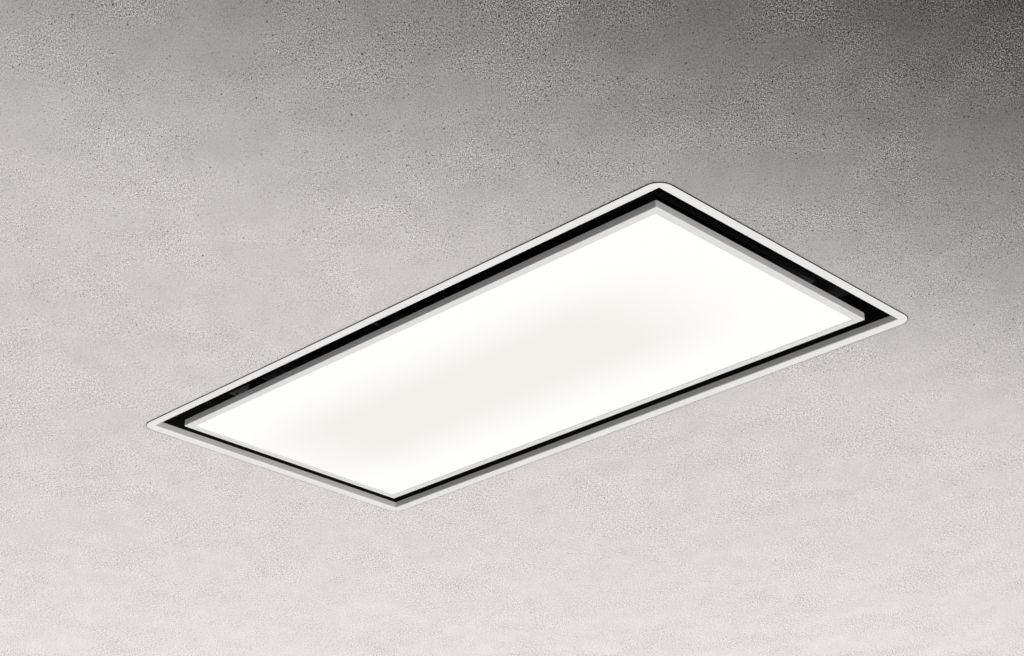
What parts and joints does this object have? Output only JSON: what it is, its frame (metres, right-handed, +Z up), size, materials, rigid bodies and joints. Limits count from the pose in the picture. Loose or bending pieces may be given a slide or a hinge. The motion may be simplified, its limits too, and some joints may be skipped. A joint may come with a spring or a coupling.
{
  "type": "ceiling range hood",
  "caption": "Flush ceiling range hood: white trim frame round a hinged, lit panel with edge suction, over grease filters, a scroll fan and a round side outlet.",
  "frame": {"origin": "centre of the ceiling plane, on which the back of the trim flange lies", "axes": "+X along the long side, towards the outlet; +Y towards the hinged side of the panel; +Z up, into the ceiling"},
  "size_m": [1, 0.5, 0.3212],
  "materials": {
    "white_paint": "satin white powder coat",
    "black_paint": "satin black powder coat",
    "zinc_sheet": "galvanised sheet with faint spangle",
    "steel": "plain steel",
    "filter_aluminium": "rolled aluminium channel",
    "filter_mesh": "layered expanded aluminium mesh",
    "strip_aluminium": "aluminium board with light-emitting diodes",
    "opal_acrylic": "opal, lit from its edges",
    "clear_acrylic": "clear, polished edges",
    "reflector_film": "matt white film",
    "fan_plastic": "moulded dark grey",
    "housing_plastic": "moulded black",
    "pale_plastic": "moulded light grey",
    "rubber": "matt black",
    "magnet_black": "black case",
    "circuit_board": "green solder mask",
    "lead_jacket": "black sheath",
    "motor_steel": "grey painted steel can"
  },
  "bodies": {
    "root": {"trim_frame": "white_paint", "inner_liner": "black_paint", "plenum_casing": "zinc_sheet", "filter_carrier": "black_paint", "latch_keeper": "black_paint", "hanger_bracket_1": "zinc_sheet", "hanger_bracket_2": "zinc_sheet", "hanger_bracket_3": "zinc_sheet", "hanger_bracket_4": "zinc_sheet", "filter_frame_left": "filter_aluminium", "filter_mesh_left": "filter_mesh", "filter_frame_right": "filter_aluminium", "filter_mesh_right": "filter_mesh", "hinge_bracket_left": "zinc_sheet", "hinge_bracket_right": "zinc_sheet", "catch_bracket_left": "black_paint", "catch_magnet_left": "magnet_black", "catch_bracket_right": "black_paint", "catch_magnet_right": "magnet_black", "contact_bracket": "black_paint", "contact_block": "housing_plastic", "lamp_lead": "lead_jacket", "volute_lower": "fan_plastic", "volute_upper": "fan_plastic", "inlet_ring": "fan_plastic", "motor": "motor_steel", "motor_plate": "zinc_sheet", "motor_mount_1": "rubber", "motor_mount_2": "rubber", "motor_mount_3": "rubber", "capacitor": "pale_plastic", "motor_cover": "zinc_sheet", "outlet_collar": "housing_plastic", "flap_pin": "steel", "control_box": "housing_plastic", "control_lid": "housing_plastic", "control_board": "circuit_board", "lamp_driver": "pale_plastic", "terminal_block": "pale_plastic", "supply_gland": "housing_plastic", "lamp_grommet": "rubber", "motor_grommet": "rubber", "motor_lead": "lead_jacket"},
    "light_panel": {"panel_frame": "white_paint", "diffuser": "opal_acrylic", "light_guide": "clear_acrylic", "reflector_sheet": "reflector_film", "light_strip_front": "strip_aluminium", "light_strip_back": "strip_aluminium", "panel_back": "black_paint", "hinge_arm_left": "zinc_sheet", "hinge_arm_right": "zinc_sheet", "catch_plate_left": "steel", "catch_plate_right": "steel", "contact_pad": "housing_plastic"},
    "impeller": {"impeller": "fan_plastic"},
    "flap_back": {"flap_back": "pale_plastic"},
    "flap_front": {"flap_front": "pale_plastic"},
    "latch_left": {"filter_latch_left": "steel"},
    "latch_right": {"filter_latch_right": "steel"}
  },
  "joints": [
    {"name": "panel_hinge", "type": "hinge", "parent": "root", "child": "light_panel", "pos_m": [0, 0.2, 0.03003], "axis": [1, 0, 0], "range_deg": [0, 90]},
    {"name": "impeller_spin", "type": "hinge", "parent": "root", "child": "impeller", "pos_m": [0, 0, 0.2], "axis": [0, 0, 1], "continuous": true},
    {"name": "flap_back_hinge", "type": "hinge", "parent": "root", "child": "flap_back", "pos_m": [0.262, 0.11, 0.2053], "axis": [0, 0, -1], "range_deg": [0, 80], "stiffness_Nm_per_rad": 0.01},
    {"name": "flap_front_hinge", "type": "hinge", "parent": "root", "child": "flap_front", "pos_m": [0.262, 0.11, 0.2053], "axis": [0, 0, 1], "range_deg": [0, 80], "stiffness_Nm_per_rad": 0.01},
    {"name": "latch_left_slide", "type": "slide", "parent": "root", "child": "latch_left", "axis": [0, 1, 0], "range_m": [0, 0.005], "stiffness_N_per_m": 300},
    {"name": "latch_right_slide", "type": "slide", "parent": "root", "child": "latch_right", "axis": [0, 1, 0], "range_m": [0, 0.005], "stiffness_N_per_m": 300}
  ]
}
